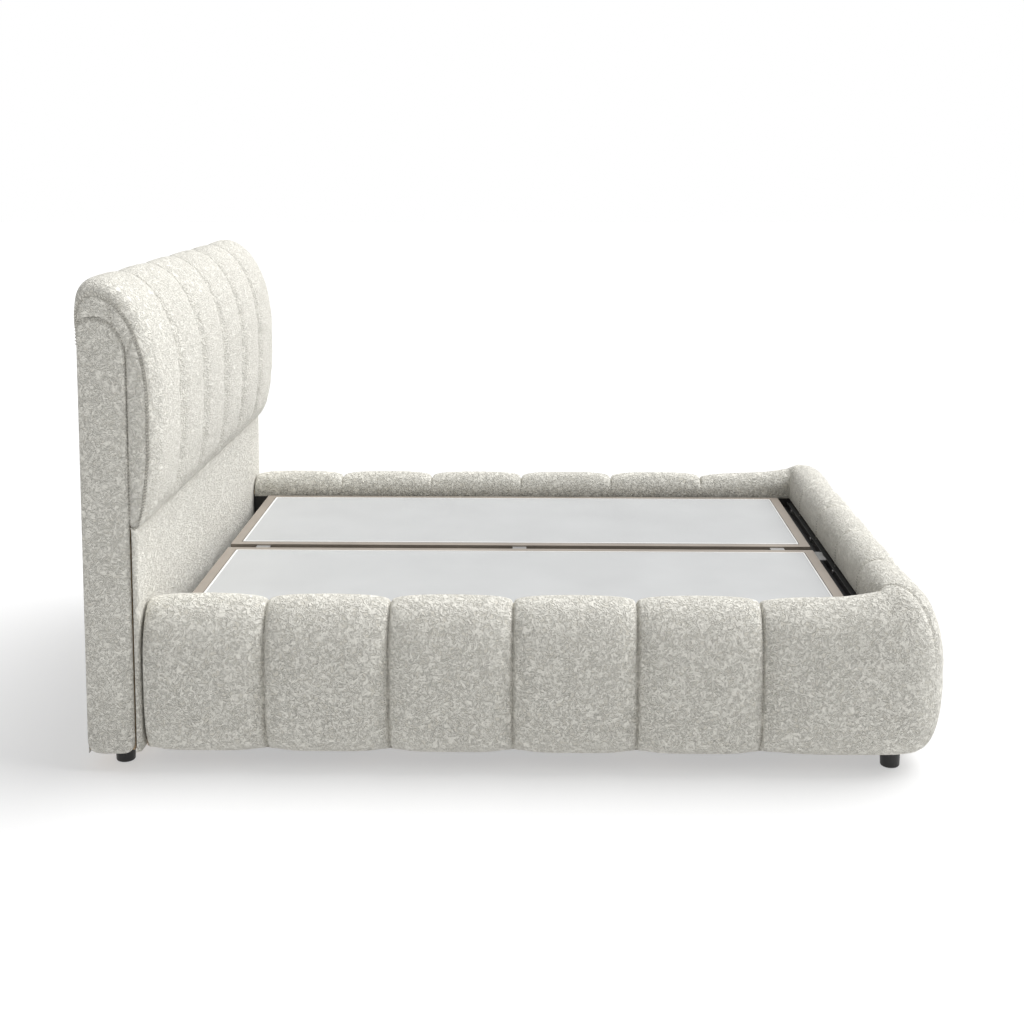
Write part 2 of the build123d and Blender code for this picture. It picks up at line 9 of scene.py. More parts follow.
import bmesh
import bpy
import numpy as np
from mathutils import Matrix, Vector


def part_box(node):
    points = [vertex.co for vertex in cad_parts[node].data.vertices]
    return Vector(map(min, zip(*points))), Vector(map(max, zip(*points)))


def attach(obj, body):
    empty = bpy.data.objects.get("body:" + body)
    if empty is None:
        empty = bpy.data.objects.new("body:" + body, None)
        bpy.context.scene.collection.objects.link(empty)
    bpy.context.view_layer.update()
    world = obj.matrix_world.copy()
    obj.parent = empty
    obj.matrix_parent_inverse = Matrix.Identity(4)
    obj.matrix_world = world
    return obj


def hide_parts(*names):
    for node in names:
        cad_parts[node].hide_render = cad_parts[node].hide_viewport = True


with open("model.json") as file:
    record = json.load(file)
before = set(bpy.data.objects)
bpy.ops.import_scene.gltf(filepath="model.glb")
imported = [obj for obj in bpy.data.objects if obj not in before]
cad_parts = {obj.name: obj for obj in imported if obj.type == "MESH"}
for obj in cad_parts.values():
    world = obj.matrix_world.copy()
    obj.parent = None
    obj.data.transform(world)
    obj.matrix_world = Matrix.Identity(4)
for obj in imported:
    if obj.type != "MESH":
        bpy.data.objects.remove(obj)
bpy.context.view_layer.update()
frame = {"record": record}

# ---------------------------------------------------------------- sizes from the frame
side_low, side_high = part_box("side_rail_right_pad")
foot_low, foot_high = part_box("foot_rail_pad")
pad_low, pad_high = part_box("headboard_pad")
slab_low, slab_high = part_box("headboard_side_right")

RAIL_INNER = -side_high.y            # inner face of the side rails, from the centre plane
SIDE_DEPTH = -side_low.y - RAIL_INNER
RAIL_START = side_low.x              # where the side rails meet the headboard
FOOT_INNER = foot_low.x
RAIL_BOTTOM = side_low.z
SIDE_CROWN = side_high.z
FOOT_CROWN = foot_high.z
FOOT_DEPTH = foot_high.x - FOOT_INNER
BOARD_DEPTH = -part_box("side_rail_right_outer_board")[0].y - RAIL_INNER
SIDE_BOARD_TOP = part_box("side_rail_right_top_board")[1].z
FOOT_BOARD_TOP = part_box("foot_rail_top_board")[1].z
PLATFORM_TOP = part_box("platform_long_tubes_right")[1].z
HEAD_HALF = pad_high.y
SLAB_BACK, SLAB_FRONT = slab_low.x, slab_high.x
SLAB_TOP = slab_high.z
LOWER_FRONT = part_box("headboard_lower_pad")[1].x
PAD_FRONT, PAD_BOTTOM, PAD_TOP = pad_high.x, pad_low.z, pad_high.z

RAIL_CHANNEL = 0.337                 # width of one sewn channel on the rails
SIDE_SEAMS = [-0.005 + RAIL_CHANNEL * step for step in (-2, -1, 0, 1, 2)]
FOOT_SEAMS = [0.333 * step for step in (-1.5, -0.5, 0.5, 1.5)]
PAD_CHANNELS = 6


# ---------------------------------------------------------------- camera
def make_camera():
    """Long lens beside the bed, pitched down, shifted and turned a little to the head."""
    data = bpy.data.cameras.new("camera")
    data.lens = 53.9
    data.sensor_width = 36.0
    data.shift_y = -0.2
    camera = bpy.data.objects.new("camera", data)
    bpy.context.scene.collection.objects.link(camera)
    camera.location = (0.0715, -4.897, 1.689)
    pitch, yaw = math.radians(5.9), math.radians(1.12)
    forward = Vector((-math.sin(yaw) * math.cos(pitch), math.cos(yaw) * math.cos(pitch),
                      -math.sin(pitch)))
    camera.rotation_mode = "QUATERNION"
    camera.rotation_quaternion = forward.to_track_quat("-Z", "Y")
    bpy.context.scene.camera = camera


make_camera()


# ---------------------------------------------------------------- materials
def material(name):
    """A new node material, with its tree and its shader."""
    made = bpy.data.materials.new(name)
    made.use_nodes = True
    return made, made.node_tree, made.node_tree.nodes["Principled BSDF"]


def node(tree, kind, **settings):
    """A new node, with its sockets or its properties set by name."""
    made = tree.nodes.new(kind)
    for key, value in settings.items():
        if key in made.inputs:
            made.inputs[key].default_value = value
        else:
            setattr(made, key, value)
    return made


def ramp(tree, source, stops):
    """Colour ramp over a value: stops are (place, (r, g, b))."""
    made = tree.nodes.new("ShaderNodeValToRGB")
    elements = made.color_ramp.elements
    for place, colour in stops[2:]:
        elements.new(place)
    for element, (place, colour) in zip(elements, sorted(stops)):
        element.position = place
        element.color = (*colour, 1)
    tree.links.new(source, made.inputs["Fac"])
    return made.outputs["Color"]


def boucle(name, colour, curl=58.0, depth=0.0034, hollow_shade=0.17):
    """Looped wool: winding curls in two sizes over a fine fuzz, with painted shade, tinted warm, in the
    hollows between the loops and a slight painted highlight on the raised loops.
    """
    made, tree, shader = material(name)
    link = tree.links.new
    place = node(tree, "ShaderNodeTexCoord").outputs["Object"]

    def combine(operation, first, second, third=None):
        """Output of a maths node over numbers or other sockets."""
        made_node = node(tree, "ShaderNodeMath", operation=operation)
        for socket, value in zip(made_node.inputs, (first, second, third)):
            if value is None:
                continue
            if isinstance(value, (int, float)):
                socket.default_value = value
            else:
                link(value, socket)
        return made_node.outputs[0]

    def curls(scale, width):
        """Ridges along the level lines of a noise, which wind like yarn."""
        noise = node(tree, "ShaderNodeTexNoise", Scale=scale, Detail=1.5, Roughness=0.45,
                     Distortion=0.9)
        link(place, noise.inputs["Vector"])
        folded = combine("ABSOLUTE", combine("SUBTRACT", noise.outputs["Fac"], 0.5), 0.0)
        ridge = node(tree, "ShaderNodeMapRange", interpolation_type="SMOOTHSTEP")
        ridge.inputs["From Max"].default_value = width
        ridge.inputs["To Min"].default_value = 1.0
        ridge.inputs["To Max"].default_value = 0.0
        link(folded, ridge.inputs["Value"])
        return ridge.outputs["Result"]

    fuzz = node(tree, "ShaderNodeTexNoise", Scale=curl * 6.5, Detail=3.0, Roughness=0.7)
    link(place, fuzz.inputs["Vector"])
    lumps = node(tree, "ShaderNodeTexNoise", Scale=curl * 0.9, Detail=2.0)
    link(place, lumps.inputs["Vector"])
    loops = combine("MAXIMUM", curls(curl, 0.10), combine("MULTIPLY", curls(curl * 1.7, 0.12), 0.9))
    height = combine("MULTIPLY_ADD", fuzz.outputs["Fac"], 0.55, loops)
    height = combine("MULTIPLY_ADD", lumps.outputs["Fac"], 0.25, height)
    bump = node(tree, "ShaderNodeBump", Strength=1.0, Distance=depth)
    link(height, bump.inputs["Height"])
    link(bump.outputs["Normal"], shader.inputs["Normal"])
    # Colour follows the bump height: painted shade, tinted warm like bounced light, in the low parts
    # between the loops, and a slight painted highlight on the loop tops.
    shade = node(tree, "ShaderNodeMapRange")
    shade.inputs["From Min"].default_value = 0.3
    shade.inputs["From Max"].default_value = 1.4
    link(height, shade.inputs["Value"])
    shade_warmth = (0.92, 1.0, 1.18)
    dark = tuple(channel * (1 - hollow_shade * warm) for channel, warm in zip(colour, shade_warmth))
    light = tuple(min(1.0, channel * 1.05) for channel in colour)
    tint = ramp(tree, shade.outputs["Result"], [(0.0, dark), (1.0, light), (0.5, colour)])
    link(tint, shader.inputs["Base Color"])
    shader.inputs["Roughness"].default_value = 0.95
    shader.inputs["Specular IOR Level"].default_value = 0.12
    shader.inputs["Sheen Weight"].default_value = 0.18
    shader.inputs["Sheen Roughness"].default_value = 0.6
    return made


def painted(name, colour, roughness, metallic, grain=220.0, depth=0.0002, spread=0.10):
    """Coated or bare hard surface with a fine grain, slight unevenness and worn roughness."""
    made, tree, shader = material(name)
    link = tree.links.new
    place = node(tree, "ShaderNodeTexCoord").outputs["Object"]
    fine = node(tree, "ShaderNodeTexNoise", Scale=grain, Detail=3.0)
    broad = node(tree, "ShaderNodeTexNoise", Scale=4.0, Detail=4.0, Roughness=0.6)
    for texture in (fine, broad):
        link(place, texture.inputs["Vector"])
    low = tuple(channel * (1 - spread) for channel in colour)
    high = tuple(min(1.0, channel * (1 + spread)) for channel in colour)
    tint = ramp(tree, broad.outputs["Fac"], [(0.3, low), (0.7, high)])
    link(tint, shader.inputs["Base Color"])
    rough = node(tree, "ShaderNodeMapRange")
    rough.inputs["To Min"].default_value = max(0.05, roughness - 0.08)
    rough.inputs["To Max"].default_value = roughness + 0.08
    link(broad.outputs["Fac"], rough.inputs["Value"])
    link(rough.outputs["Result"], shader.inputs["Roughness"])
    bump = node(tree, "ShaderNodeBump", Strength=0.6, Distance=depth)
    link(fine.outputs["Fac"], bump.inputs["Height"])
    link(bump.outputs["Normal"], shader.inputs["Normal"])
    shader.inputs["Metallic"].default_value = metallic
    return made


def timber(name, light, dark, stretch=(1.0, 14.0, 14.0), scale=3.0):
    """Sawn timber or plywood, with grain along one axis."""
    made, tree, shader = material(name)
    link = tree.links.new
    place = node(tree, "ShaderNodeTexCoord").outputs["Object"]
    mapped = node(tree, "ShaderNodeMapping")
    mapped.inputs["Scale"].default_value = stretch
    link(place, mapped.inputs["Vector"])
    grain = node(tree, "ShaderNodeTexNoise", Scale=scale, Detail=8.0, Roughness=0.65,
                 Distortion=0.6)
    link(mapped.outputs["Vector"], grain.inputs["Vector"])
    tint = ramp(tree, grain.outputs["Fac"], [(0.25, dark), (0.75, light)])
    link(tint, shader.inputs["Base Color"])
    bump = node(tree, "ShaderNodeBump", Strength=0.5, Distance=0.0006)
    link(grain.outputs["Fac"], bump.inputs["Height"])
    link(bump.outputs["Normal"], shader.inputs["Normal"])
    shader.inputs["Roughness"].default_value = 0.75
    return made


def woven(name, colour, pitch=0.0016, depth=0.0005):
    """Plain weave: two crossed thread directions."""
    made, tree, shader = material(name)
    link = tree.links.new
    place = node(tree, "ShaderNodeTexCoord").outputs["Object"]
    threads = []
    for direction in ("Y", "Z"):
        wave = node(tree, "ShaderNodeTexWave", wave_type="BANDS", bands_direction=direction,
                    Scale=0.31 / pitch / 10, Distortion=0.6, Detail=1.0)
        link(place, wave.inputs["Vector"])
        threads.append(wave.outputs["Fac"])
    mixed = node(tree, "ShaderNodeMath", operation="MAXIMUM")
    link(threads[0], mixed.inputs[0])
    link(threads[1], mixed.inputs[1])
    dark = tuple(channel * 0.72 for channel in colour)
    link(ramp(tree, mixed.outputs[0], [(0.1, dark), (0.9, colour)]), shader.inputs["Base Color"])
    bump = node(tree, "ShaderNodeBump", Strength=0.7, Distance=depth)
    link(mixed.outputs[0], bump.inputs["Height"])
    link(bump.outputs["Normal"], shader.inputs["Normal"])
    shader.inputs["Roughness"].default_value = 0.9
    return made


CREAM = (0.82, 0.801, 0.732)
MATERIALS = {
    "rail": boucle("rail_boucle", CREAM),
    "head": boucle("headboard_boucle", CREAM, curl=70.0, depth=0.0030, hollow_shade=0.15),
    # edging far paler than the board: painted highlight along the boards' rounded rims
    "edging": painted("edging_painted_highlight", (0.80, 0.80, 0.79), 0.35, 0.0, 300.0, 0.0001, 0.02),
    "thread": woven("seam_thread", (0.50, 0.48, 0.43), pitch=0.0006, depth=0.0002),
    "lining": woven("back_lining", (0.50, 0.49, 0.46)),
    "taupe": painted("taupe_steel", (0.36, 0.315, 0.27), 0.42, 0.25),
    "board": painted("pale_board", (0.475, 0.482, 0.484), 0.5, 0.0, 300.0, 0.00012, 0.03),
    "zinc": painted("zinc_steel", (0.46, 0.455, 0.45), 0.42, 0.7, 400.0, 0.0001, 0.06),
    "black": painted("black_steel", (0.022, 0.022, 0.024), 0.4, 0.3),
    "chrome": painted("chrome_rod", (0.82, 0.83, 0.85), 0.12, 1.0, 500.0, 0.00005, 0.03),
    "foot": painted("black_feet", (0.016, 0.016, 0.016), 0.38, 0.0, 260.0, 0.00015, 0.2),
    "dark": painted("dark_lining_board", (0.035, 0.034, 0.033), 0.7, 0.0, 180.0, 0.0003, 0.25),
    "pine": timber("sawn_pine", (0.70, 0.53, 0.34), (0.52, 0.36, 0.21)),
    "ply": timber("raw_plywood", (0.64, 0.49, 0.32), (0.50, 0.37, 0.24), (3.0, 3.0, 26.0), 4.0),
    "strap": woven("webbing", (0.30, 0.30, 0.295), pitch=0.0022, depth=0.0006),
}

SLOT_MATERIALS = {
    "pine": "pine", "plywood": "ply", "dark_board": "dark", "boucle_pad": "rail",
    "boucle_flat": "head", "backing_cloth": "lining", "zinc_steel": "zinc", "bolt_steel": "zinc",
    "black_steel": "black", "chrome_rod": "chrome", "black_feet": "foot", "taupe_steel": "taupe",
    "pale_board": "board", "webbing": "strap",
}


def dress_cad():
    """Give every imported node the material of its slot."""
    for part in frame["record"]["subparts"]:
        target = bpy.data.objects.get(part["node"])
        finish = MATERIALS[SLOT_MATERIALS[part["material_slot"]]]
        target.data.materials.clear()
        target.data.materials.append(finish)


dress_cad()


# ---------------------------------------------------------------- mesh helpers
def quarter(centre, across, up, power, start, end, count):
    """Points of a superellipse between two angles in degrees, ends included."""
    points = []
    for step in range(count + 1):
        angle = math.radians(start + (end - start) * step / count)
        cosine, sine = math.cos(angle), math.sin(angle)
        x = centre[0] + across * math.copysign(abs(cosine) ** (2 / power), cosine)
        y = centre[1] + up * math.copysign(abs(sine) ** (2 / power), sine)
        points.append((x, y))
    return points


def resample(points, count):
    """Evenly spaced points along an open line."""
    line = np.array(points, dtype=float)
    steps = np.linalg.norm(np.diff(line, axis=0), axis=1)
    length = np.concatenate([[0.0], np.cumsum(steps)])
    wanted = np.linspace(0, length[-1], count)
    columns = [np.interp(wanted, length, line[:, axis]) for axis in range(line.shape[1])]
    return np.stack(columns, axis=1)


def make_object(name, vertices, faces, finish):
    """A smooth mesh object with its normals outward and one material."""
    mesh = bpy.data.meshes.new(name)
    mesh.from_pydata([tuple(v) for v in vertices], [], faces)
    shell = bmesh.new()
    shell.from_mesh(mesh)
    bmesh.ops.recalc_face_normals(shell, faces=shell.faces)
    shell.to_mesh(mesh)
    shell.free()
    mesh.materials.append(finish)
    mesh.polygons.foreach_set("use_smooth", [True] * len(mesh.polygons))
    made = bpy.data.objects.new(name, mesh)
    bpy.context.scene.collection.objects.link(made)
    return made


def tube_faces(rings, around):
    """Quads of a grid of closed rings, with the first and last ring capped."""
    faces = []
    for ring in range(rings - 1):
        for step in range(around):
            following = (step + 1) % around
            a, b = ring * around + step, ring * around + following
            faces.append((a, b, b + around, a + around))
    faces.append(tuple(reversed(range(around))))
    faces.append(tuple(range((rings - 1) * around, rings * around)))
    return faces


def spread(low, high, count):
    """Stations between two seams, closer together beside the seams."""
    even = np.linspace(0, 1, count + 1)
    crowded = 0.5 - 0.5 * np.cos(np.pi * even)
    return low + (high - low) * (0.15 * even + 0.85 * crowded)


def crown(place, low, high, power=4.0, edge=0.6):
    """0 at the two seams of a channel and 1 at its middle, steep beside the seams."""
    return (1 - min(1.0, abs(2 * (place - low) / (high - low) - 1)) ** power) ** edge


# ---------------------------------------------------------------- rail covers
TUCK = 0.003                         # cloth thickness down the inner board
SHOWN = 64                           # points of a section's visible line
HIDDEN = 22                          # points of its line against the boards
SEAM_INSET, SEAM_DROP, SEAM_LIFT = 0.027, 0.017, 0.006   # how a seam draws the section in
NOTCH_DEPTH, NOTCH_WIDTH = 0.010, 0.004
CHANNEL_STEPS = 26                   # stations along one channel
LEAD_STEPS = 20                      # stations from the last foot seam to the corner
CORNER_STEPS = 16                    # stations from the start of a corner to its mitre
CORNER_ARC = 0.16                    # length of half a corner at mid depth
CORNER_EASE = 0.10                   # how far past the mitre a corner channel's crown would end
RISE_START = 0.16                    # how far before the corner a side rail starts to rise
MITRE_FADE = np.linspace(0, 1, SHOWN)
MITRE_FULLNESS = 0.95
PAST_MITRE = 0.14                    # how much flatter a cover is where it runs under the other
ON_SEAM = 1e-6                       # a station this near a seam lies on it


def rail_line(depth, top, board_top, inset, drop, under):
    """Visible line of a rail's section, from the inner tuck over the crest to the underside.

    Each point is (distance outward from the rail's inner face, height). The inset pulls the
    outer face in, drop lowers the crest and under lifts the bottom, as a seam does.
    """
    crest = 0.34 * depth
    middle = 0.29
    reach = depth - inset
    peak = top - drop
    inner = PLATFORM_TOP - 0.012
    shoulder = board_top - 0.004
    line = [(-TUCK, inner)]
    line += quarter((crest, shoulder), crest + TUCK, peak - shoulder, 2.2, 180, 90, 14)
    line += quarter((crest, middle), reach - crest, peak - middle, 2.12, 90, 0, 22)[1:]
    belly = 0.080
    line += quarter((reach - belly, middle), belly, middle - RAIL_BOTTOM - under, 2.9, 0, -90, 18)[1:]
    line.append((BOARD_DEPTH + 0.002, RAIL_BOTTOM + under + 0.001))
    return resample(line, SHOWN)


def hidden_line(start, end, board_top):
    """The cover's line along the rail boards, back from the underside to the inner tuck."""
    outer, inner, top = BOARD_DEPTH + 0.001, -0.0005, board_top + 0.001
    line = [start, (outer, RAIL_BOTTOM + 0.012), (outer, top), (inner, top), (inner, end[1]), end]
    return resample(line, HIDDEN + 2)[1:-1]


def rail_section(blend, fullness, notch):
    """Closed section: blend runs from the side rail (0) to the foot rail (1)."""
    depth = SIDE_DEPTH + (FOOT_DEPTH - SIDE_DEPTH) * blend
    top = SIDE_CROWN + (FOOT_CROWN - SIDE_CROWN) * blend
    board_top = SIDE_BOARD_TOP + (FOOT_BOARD_TOP - SIDE_BOARD_TOP) * blend
    full = rail_line(depth, top, board_top, 0.0, 0.0, 0.0)
    seam = rail_line(depth, top, board_top, SEAM_INSET + notch, SEAM_DROP + notch, SEAM_LIFT)
    shown = seam + (full - seam) * np.asarray(fullness).reshape(-1, 1)
    hidden = hidden_line(tuple(shown[-1]), tuple(shown[0]), board_top)
    return np.concatenate([shown, hidden])


def rail_ring(origin, outward, stretch, section):
    """A section placed in the bed: outward is a unit vector in plan."""
    across = section[:, 0]
    reach = np.where(across > 0, across * stretch, across)
    ring = np.empty((len(section), 3))
    ring[:, 0] = origin[0] + outward[0] * reach
    ring[:, 1] = origin[1] + outward[1] * reach
    ring[:, 2] = section[:, 1]
    return ring


def corner_stretch(turn):
    """How much further the outer face stands at a foot corner, turned in radians."""
    power = 3.2
    cosine, sine = abs(math.cos(turn)), abs(math.sin(turn))
    return 1 / (cosine ** power + sine ** power) ** (1 / power)


def smooth_step(value):
    """0 to 1 with level ends, for a value from 0 to 1."""
    value = min(1.0, max(0.0, value))
    return value * value * (3 - 2 * value)


def seam_notch(gap):
    """Extra depth of the sewn line itself, gap metres away from it."""
    return NOTCH_DEPTH * math.exp(-(gap / NOTCH_WIDTH) ** 2)


def side_blend(place):
    """How far a side rail has turned into the foot rail's section, place metres along it."""
    return smooth_step((place - FOOT_INNER + RISE_START) / (RISE_START + CORNER_ARC))


def corner_ring(turn, edge, back, blend):
    """Ring of a foot corner: turn is 0 where the corner starts, 1 at the mitre, more past it.

    The corner starts at edge along its rail, and the last seam is back metres before that.
    """
    body = crown(edge + CORNER_ARC * turn, edge - back, edge + CORNER_ARC + CORNER_EASE)
    body += (MITRE_FULLNESS - body) * smooth_step(turn)
    body *= 1 - PAST_MITRE * (turn > 1)
    pinch = math.exp(-(((1 - turn) * CORNER_ARC) / 0.022) ** 2)
    fade = np.clip(1.25 - MITRE_FADE * 2.6, 0, 1)
    return turn * math.pi / 4, rail_section(blend, body * (1 - 0.5 * pinch * fade), 0.0)


def side_rail_mesh():
    """Rings of the right-hand rail, from the headboard to just past the foot corner's mitre."""
    rings, seams = [], []
    edges = [RAIL_START, *SIDE_SEAMS]
    origin_y = -RAIL_INNER
    for low, high in zip(edges[:-1], edges[1:]):
        for place in spread(low, high, CHANNEL_STEPS)[:-1]:
            gap = min(place - low, high - place)
            fullness = [crown(place, low, high)] * SHOWN
            section = rail_section(side_blend(place), fullness, seam_notch(gap))
            seams.append(gap < ON_SEAM)
            rings.append(rail_ring((place, origin_y), (0, -1), 1.0, section))
    last = edges[-1]
    end = FOOT_INNER + CORNER_ARC + CORNER_EASE
    for place in spread(last, 2 * FOOT_INNER - last, 2 * CHANNEL_STEPS)[:CHANNEL_STEPS + 1]:
        gap = place - last
        fullness = [crown(place, last, end)] * SHOWN
        section = rail_section(side_blend(place), fullness, seam_notch(gap))
        seams.append(gap < ON_SEAM)
        rings.append(rail_ring((place, origin_y), (0, -1), 1.0, section))
    for step in range(1, CORNER_STEPS + 2):
        turn = step / CORNER_STEPS
        blend = side_blend(FOOT_INNER + CORNER_ARC * turn)
        angle, section = corner_ring(turn, FOOT_INNER, FOOT_INNER - last, blend)
        outward = (math.sin(angle), -math.cos(angle))
        seams.append(False)
        rings.append(rail_ring((FOOT_INNER, origin_y), outward, corner_stretch(angle), section))
    return np.array(rings), seams


def foot_rail_mesh():
    """Rings of the foot rail, from just past one mitre to just past the other."""
    rings, seams = [], []
    first = FOOT_SEAMS[0]
    half = []
    for step in range(-1, CORNER_STEPS + 1):
        angle, section = corner_ring(1 - step / CORNER_STEPS, 0.0, RAIL_INNER + first, 1.0)
        turn = math.pi / 2 - angle
        outward = (math.sin(turn), -math.cos(turn))
        half.append(((FOOT_INNER, -RAIL_INNER), outward, corner_stretch(turn), section))
    end = -RAIL_INNER - CORNER_ARC - CORNER_EASE
    for place in spread(-2 * RAIL_INNER - first, first, 2 * LEAD_STEPS)[LEAD_STEPS + 1:]:
        section = rail_section(1.0, [crown(place, end, first)] * SHOWN, seam_notch(first - place))
        half.append(((FOOT_INNER, place), (1, 0), 1.0, section))
    for origin, outward, stretch, section in half:
        rings.append(rail_ring(origin, outward, stretch, section))
        seams.append(False)
    seams[-1] = True
    for low, high in zip(FOOT_SEAMS[:-1], FOOT_SEAMS[1:]):
        for place in spread(low, high, CHANNEL_STEPS)[1:]:
            gap = min(place - low, high - place)
            section = rail_section(1.0, [crown(place, low, high)] * SHOWN, seam_notch(gap))
            seams.append(gap < ON_SEAM)
            rings.append(rail_ring((FOOT_INNER, place), (1, 0), 1.0, section))
    for origin, outward, stretch, section in reversed(half[:-1]):
        origin, outward = (origin[0], -origin[1]), (outward[0], -outward[1])
        rings.append(rail_ring(origin, outward, stretch, section))
        seams.append(False)
    return np.array(rings), seams


def swept_cover(name, rings, finish):
    """Closed object through a row of rings."""
    count, around = rings.shape[:2]
    return make_object(name, rings.reshape(-1, 3), tube_faces(count, around), finish)


side_rings, side_seams = side_rail_mesh()
foot_rings, foot_seams = foot_rail_mesh()
mirrored_rings = side_rings * np.array([1, -1, 1])


# ---------------------------------------------------------------- headboard pad
PAD_SHOWN = 84
PAD_HIDDEN = 26
PAD_STEPS = 24                       # stations across one channel
PAD_SEAM = (0.011, 0.010)            # inset and drop of a sewn line between two channels
PAD_EDGE = (0.024, 0.040)            # the same where the rounded ends of the pad stop
END_TURN = (0.029, 0.046)            # the same of the sewn edge that turns in past them
PAD_ROUNDING = 0.042


def pad_line(inset, drop):
    """Front line of the headboard pad, from its lower edge up, over the top and down behind."""
    front = PAD_FRONT - inset
    top = PAD_TOP - drop
    shoulder = PAD_TOP - 0.332
    bulge = 0.95
    crest = SLAB_BACK + 0.045
    back = SLAB_BACK - 0.004 + inset * 0.3
    line = [(SLAB_FRONT + 0.004, PAD_BOTTOM + 0.001), (LOWER_FRONT - 0.002, PAD_BOTTOM)]
    line += quarter((LOWER_FRONT - 0.026, bulge), front - LOWER_FRONT + 0.026,
                    bulge - PAD_BOTTOM + 0.022, 2.0, -66, 0, 20)
    line += quarter((crest, shoulder), front - crest, top - shoulder, 2.0, 0, 90, 34)
    line += quarter((crest, top - 0.055), crest - back, 0.055, 2.0, 90, 180, 12)[1:]
    line.append((back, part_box("headboard_back_cover")[1].z - 0.001))
    return resample(line, PAD_SHOWN)


def pad_hidden(start, end):
    """The pad's line against the slab, from behind over its top and down its front."""
    behind, ahead, top = SLAB_BACK + 0.012, SLAB_FRONT + 0.001, SLAB_TOP + 0.001
    line = [start, (behind, start[1]), (behind, top), (SLAB_FRONT - 0.045, top),
            (ahead, SLAB_TOP - 0.05), (ahead, end[1]), end]
    return resample(line, PAD_HIDDEN + 2)[1:-1]


def pad_ring(place, shape):
    """A ring of the pad: its visible line and its line against the slab, place metres across."""
    section = np.concatenate([shape, pad_hidden(tuple(shape[-1]), tuple(shape[0]))])
    return np.stack([section[:, 0], np.full(len(section), place), section[:, 1]], axis=1)


def pad_rings():
    """Rings of the pad across the bed, with its sewn channels and rounded ends."""
    rings, seams = [], []
    full, seam, end = pad_line(0.0, 0.0), pad_line(*PAD_SEAM), pad_line(*PAD_EDGE)
    half = HEAD_HALF - 0.004
    edges = np.linspace(-half, half, PAD_CHANNELS + 1)
    for low, high in zip(edges[:-1], edges[1:]):
        places = spread(low, high, PAD_STEPS)
        for place in places[:-1] if high < half - ON_SEAM else places:
            gap = min(place - low, high - place)
            shape = seam + (full - seam) * crown(place, low, high, 3.0, 0.75)
            notch = seam_notch(gap) * 0.5
            shape = shape - (full - seam) * notch / PAD_SEAM[0]
            past = max(0.0, abs(place) - half + PAD_ROUNDING) / PAD_ROUNDING
            shape = shape + (end - shape) * (1 - math.sqrt(max(0.0, 1 - past ** 2)))
            rings.append(pad_ring(place, shape))
            seams.append(gap < ON_SEAM)
    for side, spot in ((-1, 0), (1, len(rings) + 1)):
        rings.insert(spot, pad_ring(side * (half - 0.006), pad_line(*END_TURN)))
        seams.insert(spot, True)
    return np.array(rings), seams


head_rings, head_seams = pad_rings()


# ---------------------------------------------------------------- covers: cloth, seams and stitches
SWELL_CAP = 0.007                    # how far the cloth may move off the modelled shape
LAST_FRAME = 20


def held_points(rings, seams, shown):
    """Vertices that the cloth keeps: the sewn lines, both ends and all that lies on timber."""
    count, around = rings.shape[:2]
    grid = np.arange(count * around).reshape(count, around)
    held = [grid[:, shown - 2:].ravel(), grid[:, :3].ravel(), grid[0], grid[1], grid[-2],
            grid[-1]]
    held += [grid[index] for index, sewn in enumerate(seams) if sewn]
    return sorted(set(np.concatenate(held).tolist()))


def inflate(pieces):
    """Blow covers up a little between their seams, as cloth under pressure, and never inward."""
    scene = bpy.context.scene
    for piece, held in pieces:
        group = piece.vertex_groups.new(name="held")
        group.add(held, 1.0, "REPLACE")
        cloth = piece.modifiers.new("cloth", "CLOTH")
        settings = cloth.settings
        settings.quality = 4
        settings.mass = 0.4
        settings.tension_stiffness = settings.compression_stiffness = 25
        settings.shear_stiffness = 8
        settings.bending_stiffness = 3
        settings.shrink_min = -0.015
        settings.vertex_group_mass = "held"
        settings.use_pressure = True
        settings.uniform_pressure_force = 4
        settings.effector_weights.gravity = 0
        cloth.collision_settings.use_collision = False
        cloth.point_cache.frame_start, cloth.point_cache.frame_end = 1, LAST_FRAME
    for number in range(1, LAST_FRAME + 1):
        scene.frame_set(number)
    graph = bpy.context.evaluated_depsgraph_get()
    for piece, held in pieces:
        size = len(piece.data.vertices) * 3
        before, after = np.empty(size, np.float32), np.empty(size, np.float32)
        piece.data.vertices.foreach_get("co", before)
        piece.evaluated_get(graph).data.vertices.foreach_get("co", after)
        shift = (after - before).reshape(-1, 3)
        normals = np.empty(size, np.float32)
        piece.data.vertices.foreach_get("normal", normals)
        normals = normals.reshape(-1, 3)
        shift -= np.minimum((shift * normals).sum(axis=1, keepdims=True), 0) * normals
        far = np.linalg.norm(shift, axis=1, keepdims=True)
        shift *= np.minimum(1, SWELL_CAP / np.maximum(far, 1e-9))
        piece.modifiers.clear()
        piece.data.vertices.foreach_set("co", before + shift.ravel())
        piece.data.update()
    scene.frame_set(1)


def subdivide(piece):
    """One level of subdivision, applied."""
    piece.modifiers.new("smooth", "SUBSURF").levels = 1
    graph = bpy.context.evaluated_depsgraph_get()
    finer = bpy.data.meshes.new_from_object(piece.evaluated_get(graph))
    piece.modifiers.clear()
    piece.data = finer


STITCH_PITCH = 0.0085
STITCH_HALF = 0.0042
STITCH_RADIUS = 0.0011


def sewn_line(rings, index, shown, lift):
    """Places, directions and outward normals of the stitches along one seam ring."""
    line = rings[index][:shown]
    across = rings[index + 1][:shown] - rings[index - 1][:shown]
    length = np.linalg.norm(np.diff(line, axis=0), axis=1).sum()
    count = int(length / STITCH_PITCH)
    places = resample(line, count)
    across = resample(np.cumsum(across, axis=0), count)
    across = np.gradient(across, axis=0)
    across /= np.linalg.norm(across, axis=1, keepdims=True)
    along = np.gradient(places, axis=0)
    outward = np.cross(along, across)
    outward /= np.linalg.norm(outward, axis=1, keepdims=True)
    if ((places - rings[index].mean(axis=0)) * outward).sum() < 0:
        outward = -outward
    return places + outward * lift, across, outward


